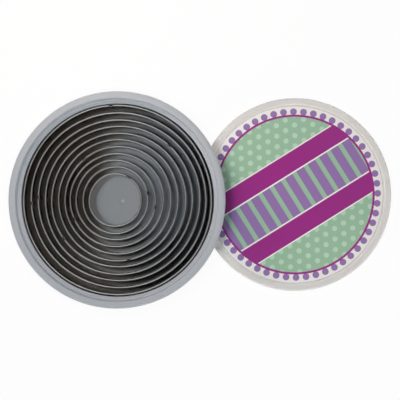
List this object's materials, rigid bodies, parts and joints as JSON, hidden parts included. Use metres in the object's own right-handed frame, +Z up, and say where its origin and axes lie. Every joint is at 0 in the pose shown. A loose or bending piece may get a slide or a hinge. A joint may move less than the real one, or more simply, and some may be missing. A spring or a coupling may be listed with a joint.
{
  "type": "nested round cutter set",
  "caption": "Plain round steel pastry cutters nested in a translucent plastic storage tub that leans on its own labelled lid.",
  "frame": {"origin": "on the table, under the middle of the box around the tub and the lid", "axes": "+X from the tub towards the lid, +Z up from the table"},
  "size_m": [0.1804, 0.101, 0.0422],
  "materials": {
    "tub_plastic": "translucent, slightly frosted",
    "cutter_steel": "bright rolled stainless sheet",
    "lid_plastic": "translucent, smooth",
    "label_print": "coated printed paper"
  },
  "bodies": {
    "tub": {"storage_tub": "tub_plastic"},
    "ring_01": {"cutter_01": "cutter_steel"},
    "ring_02": {"cutter_02": "cutter_steel"},
    "ring_03": {"cutter_03": "cutter_steel"},
    "ring_04": {"cutter_04": "cutter_steel"},
    "ring_05": {"cutter_05": "cutter_steel"},
    "ring_06": {"cutter_06": "cutter_steel"},
    "ring_07": {"cutter_07": "cutter_steel"},
    "ring_08": {"cutter_08": "cutter_steel"},
    "ring_09": {"cutter_09": "cutter_steel"},
    "ring_10": {"cutter_10": "cutter_steel"},
    "ring_11": {"cutter_11": "cutter_steel"},
    "lid_body": {"lid": "lid_plastic", "lid_label": "label_print"}
  },
  "joints": [
    {"name": "lift_01", "type": "slide", "parent": "tub", "child": "ring_01", "axis": [-0.0554, 0, 0.9985], "range_m": [0, 0.05]},
    {"name": "lift_02", "type": "slide", "parent": "tub", "child": "ring_02", "axis": [-0.0554, 0, 0.9985], "range_m": [0, 0.05]},
    {"name": "lift_03", "type": "slide", "parent": "tub", "child": "ring_03", "axis": [-0.0554, 0, 0.9985], "range_m": [0, 0.05]},
    {"name": "lift_04", "type": "slide", "parent": "tub", "child": "ring_04", "axis": [-0.0554, 0, 0.9985], "range_m": [0, 0.05]},
    {"name": "lift_05", "type": "slide", "parent": "tub", "child": "ring_05", "axis": [-0.0554, 0, 0.9985], "range_m": [0, 0.05]},
    {"name": "lift_06", "type": "slide", "parent": "tub", "child": "ring_06", "axis": [-0.0554, 0, 0.9985], "range_m": [0, 0.05]},
    {"name": "lift_07", "type": "slide", "parent": "tub", "child": "ring_07", "axis": [-0.0554, 0, 0.9985], "range_m": [0, 0.05]},
    {"name": "lift_08", "type": "slide", "parent": "tub", "child": "ring_08", "axis": [-0.0554, 0, 0.9985], "range_m": [0, 0.05]},
    {"name": "lift_09", "type": "slide", "parent": "tub", "child": "ring_09", "axis": [-0.0554, 0, 0.9985], "range_m": [0, 0.05]},
    {"name": "lift_10", "type": "slide", "parent": "tub", "child": "ring_10", "axis": [-0.0554, 0, 0.9985], "range_m": [0, 0.05]},
    {"name": "lift_11", "type": "slide", "parent": "tub", "child": "ring_11", "axis": [-0.0554, 0, 0.9985], "range_m": [0, 0.05]},
    {"name": "lid_slide", "type": "slide", "parent": "tub", "child": "lid_body", "axis": [1, 0, 0], "range_m": [0, 0.04]}
  ]
}
